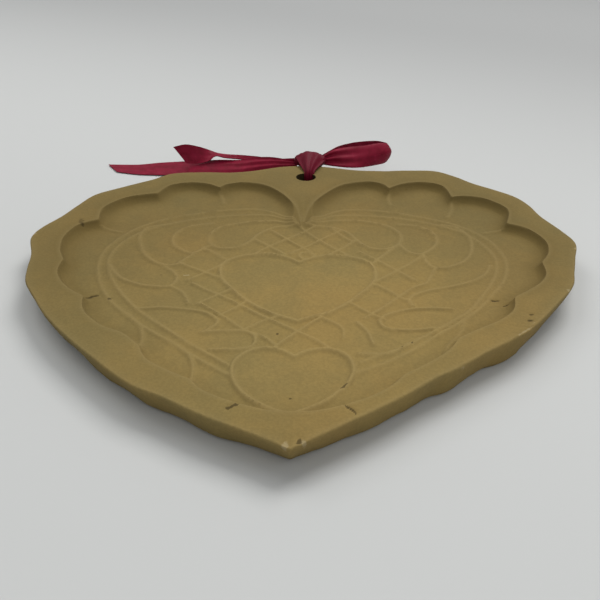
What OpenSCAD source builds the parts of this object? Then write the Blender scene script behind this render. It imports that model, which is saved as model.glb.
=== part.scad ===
// Heart-shaped fired-clay press mould with a satin hanging ribbon.
// The origin is on the underside, below the middle of the heart. +X is to the right, +Y runs from the
// heart's tip to its hanging tab, and +Z is up, out of the carved face.

/* [Mould] */
// Greatest width across the two lobes
mould_w = 152; // [120:1:200]
// Thickness from the underside to the flat rim
mould_t = 8; // [7:0.5:12]
// Size of the underside's outline, as a share of the rim's
base_share = 0.94; // [0.85:0.01:0.98]
// Depth of the carved recess below the rim
recess_depth = 2.4; // [1.6:0.1:3.5]
// Width of a raised line on the recess floor
line_w = 1.1; // [0.8:0.1:1.6]
// Height of a raised line above the recess floor
line_h = 0.6; // [0.3:0.1:1]
// Diameter of the hanging hole
hole_d = 6.4; // [6:0.1:7]

/* [Ribbon] */
// Width of the channel under the tab, the satin ribbon's own width
ribbon_w = 8; // [6:0.5:9]
// Thickness of the ribbon's solids
ribbon_t = 0.5; // [0.4:0.1:0.8]
// Width of the stretch that is gathered to pass through the hole
gathered_w = 4; // [3:0.5:5]
// Depth of the channel that the ribbon lies in, under the tab
channel_depth = 1; // [0.8:0.1:1.4]

/* [Hidden] */
$fn = 48;
unit = mould_w / 152; // the outlines below are drawn for a mould 152 wide
clear = 0.1;          // gap between the ribbon and the clay
floor_z = mould_t - recess_depth;
hole_at = [0.8, 59.8] * unit;
hole_back = hole_at[1] + hole_d / 2;
tab_back = 70.3 * unit;
base_mid = 16 * unit; // the side slants in towards this Y
base_back = base_mid + (tab_back - base_mid) * base_share;

// The rim's outer edge, from the middle of the tab down to the tip: a low wave for each scallop
edge_left = [[0, 70.3], [-8, 69], [-18, 65], [-25, 63.7], [-34, 63.8], [-43.5, 62.5], [-50, 57],
  [-58, 51], [-65.5, 44.6], [-68.8, 36.5], [-71.6, 28.4], [-75, 21.2], [-76.1, 14.5], [-73, 5],
  [-71.5, -3], [-69.6, -10], [-64.8, -18], [-60.4, -24.8], [-54.1, -32.5], [-46.1, -40.8],
  [-35.2, -51], [-26.9, -55.8], [-18.1, -61.3], [-10, -65.4], [-1, -70.3]];
edge_right = [[0, 70.3], [7.5, 69.3], [17.5, 66.4], [26, 65.8], [34, 66.4], [44, 66], [50, 61.6],
  [54.9, 55.9], [60.8, 50.6], [66.6, 44.6], [69.4, 37.8], [70.8, 30.6], [74.4, 20.6], [75.9, 13.2],
  [73.6, 5.6], [71, -2.4], [68.4, -9.9], [62.3, -18.5], [54.8, -27.8], [48.9, -33.3], [41.4, -38.9],
  [33.9, -45], [28.9, -48.3], [22.4, -53.8], [15, -59.3], [7.8, -64.2], [-1, -70.3]];

// The recess: each scallop runs from one cusp to the next, bulging outwards
scallops_left = [
  [[-0.5, 30], [-2.6, 39], [-10.4, 51.4], [-18.3, 55.2], [-24.5, 53.6], [-26.9, 51]],
  [[-26.9, 51], [-31, 54], [-37, 54.9], [-43, 52.4], [-46, 46]],
  [[-46, 46], [-51, 44.8], [-56.5, 41.5], [-60.6, 34.4], [-60, 26.6]],
  [[-60, 26.6], [-65, 23], [-67, 15.5], [-66, 8], [-63.4, 2]],
  [[-63.4, 2], [-63.2, -4], [-61, -9], [-57.4, -13.4], [-53.2, -16.8]],
  [[-53.2, -16.8], [-51.5, -23], [-46.2, -29.2], [-40, -32.8], [-35.4, -37.6]],
  [[-35.4, -37.6], [-32.8, -42.5], [-27.5, -46.6], [-22.4, -49.6]],
  [[-22.4, -49.6], [-19.5, -53], [-15.5, -55.5], [-11.8, -57.2]],
  [[-11.8, -57.2], [-6, -59.2], [-1, -59.6]]];
scallops_right = [
  [[0.5, 30], [2.4, 38], [7.8, 47.6], [13, 53.8], [20.9, 56.4], [25.5, 54.6], [27.5, 51]],
  [[27.5, 51], [32.6, 55], [39.3, 56.3], [45, 53.2], [46.5, 44.5]],
  [[46.5, 44.5], [51, 45.3], [57, 43], [62, 35.5], [59.6, 25.8]],
  [[59.6, 25.8], [64.8, 22.2], [67.8, 14.8], [67, 8], [63.8, 2.4]],
  [[63.8, 2.4], [63.2, -4], [60.5, -8.6], [56.6, -12.4], [52.5, -15.8]],
  [[52.5, -15.8], [50.8, -21.7], [46.6, -26.2], [41.5, -29.6], [36, -33.6]],
  [[36, -33.6], [32.8, -38.6], [28, -43], [22.2, -47.4]],
  [[22.2, -47.4], [19, -51.4], [14.5, -54.8], [9.4, -57.4]],
  [[9.4, -57.4], [4, -59.2], [-1, -59.6]]];

// Raised lines on the floor. Each is a smooth curve through its points.
lines_middle = [
  // the large heart, left half then right half
  [[-0.6, 4.6], [-4, 7.4], [-8.5, 9.3], [-13.5, 9], [-18, 7], [-20.8, 4], [-21.4, 0], [-20.4, -4.5],
   [-17.6, -9.5], [-13.5, -15], [-7.5, -20.6], [-0.5, -24.2]],
  [[-0.6, 4.6], [3.5, 7.6], [8, 8.8], [13, 8.2], [17.3, 5.7], [19.2, 2.2], [19.5, -2.5], [18.3, -6.8],
   [15.3, -11.6], [12, -15.8], [7, -20.4], [-0.5, -24.2]],
  // the small heart
  [[-1, -38.6], [-3.8, -36.2], [-8, -35.4], [-12, -37.4], [-14.2, -41.4], [-14, -46], [-12.2, -50.4],
   [-9.6, -53.6], [-5.8, -56.4], [-1.4, -58.4]],
  [[-1, -38.6], [1.8, -36.4], [5.2, -35.6], [8.8, -36.6], [11.2, -39.3], [12, -43.3], [10.8, -47.4],
   [8.7, -50.5], [5, -54.6], [-1.4, -58.4]]];
lines_left = [
  // frame, inner and outer
  [[-1, 28.8], [-6, 32.2], [-11, 34.6], [-20, 34.2], [-30, 32], [-39, 28], [-46.6, 22.6], [-51, 15],
   [-52.4, 7.6], [-51.2, 0.6], [-48.2, -6.5], [-44, -13.6], [-39, -20.2], [-33.8, -25.4],
   [-28.5, -30.4], [-22.5, -35.8], [-15.4, -41.8]],
  [[-1.2, 29.6], [-6, 34], [-11, 37.6], [-16, 38.8], [-23, 38], [-31, 35.6], [-39, 32.2], [-45.4, 28],
   [-50.4, 22], [-53.8, 14.4], [-54.8, 7.6], [-54, 0.6], [-51.6, -7], [-47.4, -15], [-42, -21.6],
   [-37, -26.8], [-31.6, -31.4], [-25, -37.2], [-19, -42.2], [-14.6, -45.4]],
  // leaves, from the notch outwards and down
  [[-1, 28], [-8, 30], [-16, 29.4], [-22.6, 27], [-26, 22.8], [-26.4, 17.6], [-24.4, 13.6],
   [-21, 12.4], [-17.4, 13.8], [-14.6, 17.2], [-12.4, 21.6], [-8, 26], [-1, 27.6]],
  [[-27, 28.6], [-33, 26.4], [-36.6, 21.4], [-36.4, 15.6], [-33.6, 11.6], [-29.8, 9.6], [-26.4, 13.6]],
  [[-41, 27], [-45.4, 25.4], [-46.6, 20.6], [-45.4, 14.6], [-43, 8.8], [-39.8, 4.6], [-35.6, 2.6],
   [-32, 3.8]],
  [[-51.4, 2.6], [-47.4, -3.8], [-42, -7.4], [-37, -8.6], [-33.4, -8.2], [-32.2, -4.6], [-33.6, -1],
   [-36.4, 1.8]],
  [[-39, -19.2], [-33, -18.6], [-25.6, -19.8], [-21, -22.2], [-19.4, -25.4], [-21.6, -28.6]],
  [[-22.6, -29.2], [-18, -28.6], [-12.4, -28.8], [-10, -31.6], [-11.4, -35.4], [-20, -36.2]],
  // stalk, and the diamonds
  [[-33, -8.4], [-29.6, -11.6], [-27.6, -16.4]],
  [[-29.8, 9.4], [-26.4, 11.8], [-20.6, 6]],
  [[-32.4, 3.6], [-28.2, 0.8], [-24.6, -1.6], [-20.6, -4.2]],
  [[-29.6, 9.4], [-33, 4]],
  [[-29.2, -5.2], [-24.6, -0.6], [-21.4, 3]],
  [[-27.8, -6.8], [-22.8, -10.8], [-18.4, -14], [-9.6, -21.6], [-4, -25.8], [4, -32]],
  [[-25.2, -16.8], [-21.6, -13.2], [-17.8, -9.8]],
  [[-19.2, -22], [-15.6, -18.4], [-13.4, -15.4]],
  [[-24.8, -16.4], [-18.8, -22], [-12.6, -28.4], [-8, -31.2], [-5, -34.8]],
  [[-12.8, -28], [-8.6, -24.2], [-5, -22.2]],
  [[-5.4, -34.8], [0, -28], [5, -22.6]]];
lines_right = [
  [[1, 28.8], [6, 32.2], [11, 34.6], [20, 34.4], [30, 32.4], [39, 28.8], [46.6, 23.2], [51, 15.6],
   [52.8, 8], [51.8, 1], [49, -6], [46, -11.5], [41.5, -18.5], [36, -24], [28.6, -30.6],
   [23.6, -34.6], [13.6, -40.4]],
  [[1.2, 29.6], [6, 34], [11, 37.6], [16, 38.8], [23, 38], [31, 35.6], [39, 32.2], [46, 28], [51.2, 22],
   [54.2, 15.4], [55.4, 7.8], [54.6, 1.6], [52.4, -4.6], [49.4, -9.8], [44, -17.6], [38.6, -23.6],
   [32, -29.6], [24.5, -36.6], [18, -41.2], [11.6, -44.6]],
  [[1, 28], [8, 30.6], [17, 30.8], [24.4, 28], [28, 23], [28, 17.8], [25.6, 13.8], [21.6, 12.6],
   [18, 14.4], [15.6, 18], [13.2, 22.8], [8, 26.4], [1, 27.6]],
  [[28.6, 28.6], [34.4, 27.2], [38, 22.4], [38.2, 17], [35.8, 12.4], [32.6, 9.8], [29.4, 11.6],
   [27.6, 15.8]],
  [[41, 28.4], [45.4, 26.6], [47.8, 20.6], [47.6, 14.4], [45.8, 8.6], [42.6, 4.6], [38, 2.2],
   [35.4, 2.2], [33.8, 5.2], [33.4, 9.4]],
  [[50.6, 3.6], [48.8, -0.4], [45.4, -4], [39, -7.4], [33, -9.4], [28.6, -11.8], [27, -14.4], [27.6, -17]],
  [[36.8, -18.2], [31, -18], [25.4, -19], [20.6, -21.4], [19, -24.6], [21, -27.2], [27, -27.6],
   [32, -26.8]],
  [[13.6, -24.6], [15.8, -28.4], [16.8, -33.4]],
  [[13.4, -37.4], [20, -37.2], [24.4, -33.8], [28.4, -30.6]],
  [[35.6, 1.8], [33.6, -3.2], [32.4, -6], [28.8, -8.2], [25.4, -12]],
  [[27.2, 15.4], [23.6, 10.8], [19.4, 4.6]],
  [[16, 11.2], [21.4, 5.2], [25.4, 0.6], [29.4, -4.4]],
  [[33.2, 9.2], [29.4, 4.6], [25.4, 0.6], [18.4, -6.4]],
  [[18.6, -6.2], [22, -9.6], [24.6, -12.6], [27.2, -15]],
  [[25, -12.2], [20.6, -17.6], [15.6, -22.6]],
  [[12.2, -15.6], [17, -20.6], [20, -23]],
  [[5, -22.4], [9.8, -26.6], [10.2, -31]],
  [[3.6, -31.8], [8, -36.4]]];
// diamonds between the hearts' notches
lines_top = [[[-13, 9.4], [-9, 14], [-4.4, 18.4], [0.4, 23], [3.6, 26.6]],
  [[-3.2, 9.6], [2, 14.6], [7, 19.8], [11, 24]], [[7.6, 9.2], [12, 14], [15.4, 18.2]],
  [[-13.6, 18.4], [-9, 14], [-4.6, 9.2]], [[-8.8, 24], [-4.4, 18.4], [2, 11.4]],
  [[-1, 27], [2.8, 20.6], [7, 15.4], [12.4, 9.4]], [[9, 25], [12, 20], [14.6, 17]]];
// short lines from the cusps to the frame
lines_cusp = [[[-27, 51], [-25.6, 47], [-24.8, 43]], [[27.6, 50.6], [27, 46.6], [27.4, 42.6]],
  [[-60, 26.4], [-56.4, 24], [-52.6, 22.6]], [[46.6, 44.4], [45.6, 38.6], [43.8, 34]],
  [[59.6, 25.6], [56, 24.4], [53, 23.6]], [[-41.6, -21.4], [-37.6, -26.6], [-36, -31.6], [-35.4, -37.6]],
  [[-31, -31.6], [-25.6, -36.4], [-23.2, -41], [-22.6, -46], [-22.4, -49.6]],
  [[39.2, -23], [37.6, -28.4], [33.6, -34], [32.4, -38.4]]];
ring_at = [1.4, 8.6]; // the small ring in the large heart's notch
ring_r = 2;

// The ribbon's stretches. Each is drawn by its two edges, from the knot outwards.
knot_at = [2.2, 73.4, 9];
knot_size = [9, 5, 4.6];
loop_low = [[6.7, 73, 7.2], [10, 73, 6.5], [14.2, 73.2, 5.9], [18.3, 73.6, 5.7], [21.7, 74.6, 5.9],
  [25.3, 76.4, 6.1], [28.2, 78.8, 5.8], [29.8, 82, 5.6], [28.8, 84.8, 5], [25.8, 85.4, 4.4],
  [19, 83.6, 4.4], [13, 81, 5.2], [9, 77.8, 6.2], [6.7, 75.4, 7.2]];
loop_high = [[6.7, 74, 10.2], [10, 75.4, 11.7], [14.2, 76.6, 12.2], [18.2, 77.6, 12.3], [21.6, 78.8, 12.2],
  [25.2, 80.4, 12.3], [27.8, 82, 11.9], [29.4, 83.8, 11.1], [28.6, 85.6, 10.9], [25.4, 86, 11.3],
  [18.6, 84, 11.5], [12.6, 81.4, 11.1], [9, 78, 10.6], [6.7, 75.6, 10]];
short_tail_low = [[-2.3, 74.3, 8.3], [-10, 76.9, 7.3], [-17, 78.3, 7.1], [-22.5, 79.5, 6.7],
  [-28, 79.9, 6.9], [-31.3, 80.2, 7.4], [-34, 80.8, 5.4], [-37.3, 81.4, 4.2], [-40, 81.8, 3.9],
  [-42.4, 82, 4]];
short_tail_high = [[-2.3, 75.7, 8.4], [-10, 78.6, 6.9], [-17, 80.8, 6.9], [-22.6, 82.8, 6.8],
  [-28, 84.6, 6.5], [-31.6, 85.5, 6.7], [-34.4, 85.2, 7.9], [-38, 84.4, 9.4], [-42.5, 83.8, 10.4],
  [-46.8, 83.2, 9.6]];
long_tail_near = [[-2.3, 72, 6.8], [-10, 71.5, 6.3], [-16, 71.9, 5.1], [-22.5, 72.8, 3.7],
  [-29.5, 74.2, 2.4], [-37, 76.2, 1.5], [-44.5, 78.2, 0.9], [-52, 79.5, 0.5], [-60, 80.2, 0.4],
  [-68, 82.4, 0.4]];
long_tail_far = [[-2.3, 74.2, 7.7], [-10, 76.4, 8.2], [-16, 77.6, 7.9], [-22.5, 79.2, 6.4],
  [-30, 81.6, 5.5], [-37.5, 84, 4.2], [-45, 86, 3], [-53, 87.5, 1.9], [-61.5, 88.5, 0.7],
  [-72.6, 89.3, 0.4]];

// Catmull-Rom curve through points p, with n steps a span
function spline(p, n) = [for (i = [0 : len(p) - 2], k = [0 : n - 1])
  let (a = p[max(i - 1, 0)], b = p[i], c = p[i + 1], d = p[min(i + 2, len(p) - 1)], t = k / n)
    0.5 * ((2 * b) + (c - a) * t + (2 * a - 5 * b + 4 * c - d) * t * t
      + (3 * b - a - 3 * c + d) * t * t * t), p[len(p) - 1]];
function reversed(p) = [for (i = [len(p) - 1 : -1 : 0]) p[i]];
function unit_vector(v) = v / norm(v);
// Sideways direction of the curve p at its point i
function side_at(p, i) = let (v = unit_vector(p[min(i + 1, len(p) - 1)] - p[max(i - 1, 0)])) [-v[1], v[0]];
// Outline of a band of width w along the curve p
function band(p, w) = concat([for (i = [0 : len(p) - 1]) p[i] + side_at(p, i) * w / 2],
  [for (i = [len(p) - 1 : -1 : 0]) p[i] - side_at(p, i) * w / 2]);
function scalloped(rows) = [for (row = rows) each spline(row, 4)];

module rim_outline() {
  scale(unit) polygon(concat(spline(edge_left, 3), reversed(spline(edge_right, 3))));
}

// The slab, its side slanting in from the rim to the smaller underside
module slab() {
  translate([0, base_mid, 0])
    linear_extrude(height = mould_t, scale = 1 / base_share)
      scale(base_share) translate([0, -base_mid]) rim_outline();
}

module recess_outline() {
  scale(unit) polygon(concat(scalloped(scallops_left), reversed(scalloped(scallops_right))));
}

// Every raised line as one flat region, trimmed to the recess
module relief_outline() {
  offset(delta = 0.01) intersection() {
    scale(unit) {
      for (p = concat(lines_middle, lines_left, lines_right, lines_top, lines_cusp))
        polygon(band(spline(p, 4), line_w));
      translate(ring_at) difference() {
        circle(ring_r + line_w / 2);
        circle(ring_r - line_w / 2);
      }
    }
    recess_outline();
  }
}

// Fired-clay body: a flat rim round a scalloped recess, with walls that slope in to a smaller base
module mold_body() {
  overlap = 0.4;
  color("#8a764a") union() {
    difference() {
      slab();
      translate([0, 0, floor_z]) linear_extrude(height = recess_depth + 1) recess_outline();
      translate([hole_at[0], hole_at[1], -1]) cylinder(d = hole_d, h = mould_t + 2);
      // channel under the tab that the ribbon lies in
      translate([hole_at[0] - ribbon_w / 2, hole_at[1], -1])
        cube([ribbon_w, tab_back - hole_at[1], 1 + channel_depth]);
    }
    translate([0, 0, floor_z - overlap]) linear_extrude(height = line_h + overlap) relief_outline();
  }
}

// Satin ribbon where it goes through the hole and round the back of the tab
module ribbon_ring() {
  low = clear;
  high = mould_t + clear + ribbon_t;
  front = hole_back - clear - ribbon_t;
  back_top = tab_back + clear + ribbon_t;
  back_low = base_back + clear + ribbon_t;
  color("#7a2440") translate([hole_at[0] + 1.2 - gathered_w / 2, 0, 0]) rotate([90, 0, 90])
    linear_extrude(height = gathered_w) difference() {
      polygon([[front, low], [back_low, low], [back_top, mould_t], [back_top, high], [front, high]]);
      polygon([[front + ribbon_t, low + ribbon_t], [back_low - ribbon_t, low + ribbon_t],
        [back_top - ribbon_t, mould_t + clear / 2], [back_top - ribbon_t, high - ribbon_t],
        [front + ribbon_t, high - ribbon_t]]);
    }
}

// The half-bow's knot, behind the tab's top edge
module ribbon_knot() {
  color("#6b1f38") translate(knot_at) intersection() {
    hull() for (side = [-1, 1]) translate([side * 1.6, 0, 0]) sphere(r = 3.4, $fn = 24);
    cube(knot_size, center = true);
  }
}

// A thin band of ribbon between two edge curves
module swept_band(edge_a, edge_b) {
  a = spline(edge_a, 4);
  b = spline(edge_b, 4);
  last = len(a) - 1;
  function face_at(i) = unit_vector(cross(a[min(i + 1, last)] + b[min(i + 1, last)]
    - a[max(i - 1, 0)] - b[max(i - 1, 0)], b[i] - a[i])) * ribbon_t / 2;
  polyhedron(
    points = [for (i = [0 : last]) let (n = face_at(i)) each [a[i] + n, b[i] + n, b[i] - n, a[i] - n]],
    faces = concat(
      [[0, 3, 2, 1]],
      [for (i = [0 : last - 1], k = [0 : 3]) let (p = 4 * i + k, q = 4 * i + (k + 1) % 4)
        each [[p, q, q + 4], [p, q + 4, p + 4]]],
      [[4 * last, 4 * last + 1, 4 * last + 2, 4 * last + 3]]));
}

// The half-bow's loop: the ribbon standing on its edge, open in the middle
module ribbon_loop() {
  color("#7a2440") swept_band(loop_low, loop_high);
}

// The short tail lies edge-on as far as a half twist, then stands up, cut slanting at its end
module ribbon_short_tail() {
  color("#7a2440") swept_band(short_tail_low, short_tail_high);
}

// The long tail slopes down behind the mould to the table and lies flat there
module ribbon_long_tail() {
  color("#93395a") swept_band(long_tail_near, long_tail_far);
}

mold_body();
ribbon_ring();
ribbon_knot();
ribbon_loop();
ribbon_short_tail();
ribbon_long_tail();
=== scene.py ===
import math
import bpy
import numpy as np
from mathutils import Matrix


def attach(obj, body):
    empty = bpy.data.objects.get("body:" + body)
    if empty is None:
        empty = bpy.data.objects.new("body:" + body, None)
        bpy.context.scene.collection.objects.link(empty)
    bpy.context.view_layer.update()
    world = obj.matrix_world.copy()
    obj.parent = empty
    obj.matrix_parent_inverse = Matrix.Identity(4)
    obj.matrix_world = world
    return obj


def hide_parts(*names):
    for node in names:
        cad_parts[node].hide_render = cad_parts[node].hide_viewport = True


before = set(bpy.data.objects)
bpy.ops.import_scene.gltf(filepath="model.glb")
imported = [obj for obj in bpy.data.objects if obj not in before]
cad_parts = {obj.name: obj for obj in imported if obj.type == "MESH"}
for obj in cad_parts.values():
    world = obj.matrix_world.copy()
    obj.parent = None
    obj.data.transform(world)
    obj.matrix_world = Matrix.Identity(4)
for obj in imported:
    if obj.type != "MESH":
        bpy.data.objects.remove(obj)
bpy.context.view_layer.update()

# ---------------------------------------------------------------------------------------------
# Clay mould. One heart-shaped slab of unglazed stoneware, pressed and fired. It has a flat rim
# with a low wave for each scallop, a side that slopes in to a smaller foot, and a hanging tab
# with one hole. The carved recess is 2.4 mm deep, with raised lines on its floor.
MM = 0.001
SLAB = 8.0          # thickness, mm
CARVED = 2.4        # depth of the recess, mm
MIDDLE = np.array([0.0, -5.0])   # the point that the rings of the surface are drawn round, mm

rim_left = [[0, 70.3], [-8, 69], [-18, 65], [-25, 63.7], [-34, 63.8], [-43.5, 62.5], [-50, 57],
            [-58, 51], [-65.5, 44.6], [-68.8, 36.5], [-71.6, 28.4], [-75, 21.2], [-76.1, 14.5],
            [-73, 5], [-71.5, -3], [-69.6, -10], [-64.8, -18], [-60.4, -24.8], [-54.1, -32.5],
            [-46.1, -40.8], [-35.2, -51], [-26.9, -55.8], [-18.1, -61.3], [-10, -65.4], [-1, -70.3]]
rim_right = [[0, 70.3], [7.5, 69.3], [17.5, 66.4], [26, 65.8], [34, 66.4], [44, 66], [50, 61.6],
             [54.9, 55.9], [60.8, 50.6], [66.6, 44.6], [69.4, 37.8], [70.8, 30.6], [74.4, 20.6],
             [75.9, 13.2], [73.6, 5.6], [71, -2.4], [68.4, -9.9], [62.3, -18.5], [54.8, -27.8],
             [48.9, -33.3], [41.4, -38.9], [33.9, -45], [28.9, -48.3], [22.4, -53.8], [15, -59.3],
             [7.8, -64.2], [-1, -70.3]]
# The foot's edge lies about 3 mm in from the rim's, with a rounder tip
foot_left = [[0, 66.9], [-7.2, 65.8], [-17.2, 61.7], [-25, 60.3], [-34, 60.4], [-42, 59.4],
             [-47.8, 54.4], [-56, 48.2], [-62.6, 42.8], [-65.6, 35.3], [-68.4, 27], [-71.9, 20],
             [-72.7, 14.3], [-69.7, 5.8], [-68.1, -2.6], [-66.4, -8.9], [-62, -16.1], [-57.6, -22.8],
             [-51.4, -30.1], [-43.6, -38.4], [-33.2, -47.9], [-25.2, -52.8], [-16.6, -58.3],
             [-8.8, -61.6], [-1.2, -64.9]]
foot_right = [[0, 66.9], [6.8, 66], [17, 63], [26.1, 62.4], [34, 63], [42.4, 63], [47.4, 59.4],
              [52.4, 53.6], [58.4, 48.2], [63.7, 42.8], [66.1, 36.9], [67.6, 29.6], [71.1, 19.7],
              [72.5, 13.3], [70.4, 6.6], [67.7, -1.4], [65.3, -8.4], [59.6, -16.4], [53, -26],
              [46.9, -32.8], [39.8, -36.4], [33, -43.3], [27.8, -46.2], [21.4, -51.2], [13.6, -57.2],
              [6, -61], [-1.2, -64.9]]
scallops_left = [
    [[-0.5, 30], [-2.6, 39], [-10.4, 51.4], [-18.3, 55.2], [-24.5, 53.6], [-26.9, 51]],
    [[-26.9, 51], [-31, 54], [-37, 54.9], [-43, 52.4], [-46, 46]],
    [[-46, 46], [-51, 44.8], [-56.5, 41.5], [-60.6, 34.4], [-60, 26.6]],
    [[-60, 26.6], [-65, 23], [-67, 15.5], [-66, 8], [-63.4, 2]],
    [[-63.4, 2], [-63.2, -4], [-61, -9], [-57.4, -13.4], [-53.2, -16.8]],
    [[-53.2, -16.8], [-51.5, -23], [-46.2, -29.2], [-40, -32.8], [-35.4, -37.6]],
    [[-35.4, -37.6], [-32.8, -42.5], [-27.5, -46.6], [-22.4, -49.6]],
    [[-22.4, -49.6], [-19.5, -53], [-15.5, -55.5], [-11.8, -57.2]],
    [[-11.8, -57.2], [-6, -59.2], [-1, -59.6]]]
scallops_right = [
    [[0.5, 30], [2.4, 38], [7.8, 47.6], [13, 53.8], [20.9, 56.4], [25.5, 54.6], [27.5, 51]],
    [[27.5, 51], [32.6, 55], [39.3, 56.3], [45, 53.2], [46.5, 44.5]],
    [[46.5, 44.5], [51, 45.3], [57, 43], [62, 35.5], [59.6, 25.8]],
    [[59.6, 25.8], [64.8, 22.2], [67.8, 14.8], [67, 8], [63.8, 2.4]],
    [[63.8, 2.4], [63.2, -4], [60.5, -8.6], [56.6, -12.4], [52.5, -15.8]],
    [[52.5, -15.8], [50.8, -21.7], [46.6, -26.2], [41.5, -29.6], [36, -33.6]],
    [[36, -33.6], [32.8, -38.6], [28, -43], [22.2, -47.4]],
    [[22.2, -47.4], [19, -51.4], [14.5, -54.8], [9.4, -57.4]],
    [[9.4, -57.4], [4, -59.2], [-1, -59.6]]]

# Raised lines: two hearts in the middle, then the frame, leaves and lattice of each side
heart_lines = [
    [[-0.6, 4.6], [-4, 7.4], [-8.5, 9.3], [-13.5, 9], [-18, 7], [-20.8, 4], [-21.4, 0], [-20.4, -4.5],
     [-17.6, -9.5], [-13.5, -15], [-7.5, -20.6], [-0.5, -24.2]],
    [[-0.6, 4.6], [3.5, 7.6], [8, 8.8], [13, 8.2], [17.3, 5.7], [19.2, 2.2], [19.5, -2.5], [18.3, -6.8],
     [15.3, -11.6], [12, -15.8], [7, -20.4], [-0.5, -24.2]],
    [[-1, -38.6], [-3.8, -36.2], [-8, -35.4], [-12, -37.4], [-14.2, -41.4], [-14, -46], [-12.2, -50.4],
     [-9.6, -53.6], [-5.8, -56.4], [-1.4, -58.4]],
    [[-1, -38.6], [1.8, -36.4], [5.2, -35.6], [8.8, -36.6], [11.2, -39.3], [12, -43.3], [10.8, -47.4],
     [8.7, -50.5], [5, -54.6], [-1.4, -58.4]]]
frame_lines = [
    [[-1, 28.8], [-6, 32.2], [-11, 34.6], [-20, 34.2], [-30, 32], [-39, 28], [-46.6, 22.6], [-51, 15],
     [-52.4, 7.6], [-51.2, 0.6], [-48.2, -6.5], [-44, -13.6], [-39, -20.2], [-33.8, -25.4],
     [-28.5, -30.4], [-22.5, -35.8], [-15.4, -41.8]],
    [[-1.2, 29.6], [-6, 34], [-11, 37.6], [-16, 38.8], [-23, 38], [-31, 35.6], [-39, 32.2], [-45.4, 28],
     [-50.4, 22], [-53.8, 14.4], [-54.8, 7.6], [-54, 0.6], [-51.6, -7], [-47.4, -15], [-42, -21.6],
     [-37, -26.8], [-31.6, -31.4], [-25, -37.2], [-19, -42.2], [-14.6, -45.4]],
    [[1, 28.8], [6, 32.2], [11, 34.6], [20, 34.4], [30, 32.4], [39, 28.8], [46.6, 23.2], [51, 15.6],
     [52.8, 8], [51.8, 1], [49, -6], [46, -11.5], [41.5, -18.5], [36, -24], [28.6, -30.6],
     [23.6, -34.6], [13.6, -40.4]],
    [[1.2, 29.6], [6, 34], [11, 37.6], [16, 38.8], [23, 38], [31, 35.6], [39, 32.2], [46, 28],
     [51.2, 22], [54.2, 15.4], [55.4, 7.8], [54.6, 1.6], [52.4, -4.6], [49.4, -9.8], [44, -17.6], [38.6, -23.6],
     [32, -29.6], [24.5, -36.6], [18, -41.2], [11.6, -44.6]]]
leaf_lines = [
    [[-1, 28], [-8, 30], [-16, 29.4], [-22.6, 27], [-26, 22.8], [-26.4, 17.6], [-24.4, 13.6],
     [-21, 12.4], [-17.4, 13.8], [-14.6, 17.2], [-12.4, 21.6], [-8, 26], [-1, 27.6]],
    [[-27, 28.6], [-33, 26.4], [-36.6, 21.4], [-36.4, 15.6], [-33.6, 11.6], [-29.8, 9.6], [-26.4, 13.6]],
    [[-41, 27], [-45.4, 25.4], [-46.6, 20.6], [-45.4, 14.6], [-43, 8.8], [-39.8, 4.6], [-35.6, 2.6],
     [-32, 3.8]],
    [[-51.4, 2.6], [-47.4, -3.8], [-42, -7.4], [-37, -8.6], [-33.4, -8.2], [-32.2, -4.6], [-33.6, -1],
     [-36.4, 1.8]],
    [[-39, -19.2], [-33, -18.6], [-25.6, -19.8], [-21, -22.2], [-19.4, -25.4], [-21.6, -28.6]],
    [[-22.6, -29.2], [-18, -28.6], [-12.4, -28.8], [-10, -31.6], [-11.4, -35.4], [-20, -36.2]],
    [[1, 28], [8, 30.6], [17, 30.8], [24.4, 28], [28, 23], [28, 17.8], [25.6, 13.8], [21.6, 12.6],
     [18, 14.4], [15.6, 18], [13.2, 22.8], [8, 26.4], [1, 27.6]],
    [[28.6, 28.6], [34.4, 27.2], [38, 22.4], [38.2, 17], [35.8, 12.4], [32.6, 9.8], [29.4, 11.6],
     [27.6, 15.8]],
    [[41, 28.4], [45.4, 26.6], [47.8, 20.6], [47.6, 14.4], [45.8, 8.6], [42.6, 4.6], [38, 2.2],
     [35.4, 2.2], [33.8, 5.2], [33.4, 9.4]],
    [[50.6, 3.6], [48.8, -0.4], [45.4, -4], [39, -7.4], [33, -9.4], [28.6, -11.8], [27, -14.4],
     [27.6, -17]],
    [[36.8, -18.2], [31, -18], [25.4, -19], [20.6, -21.4], [19, -24.6], [21, -27.2], [27, -27.6],
     [32, -26.8]],
    [[13.6, -24.6], [15.8, -28.4], [16.8, -33.4]],
    [[13.4, -37.4], [20, -37.2], [24.4, -33.8], [28.4, -30.6]]]
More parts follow.
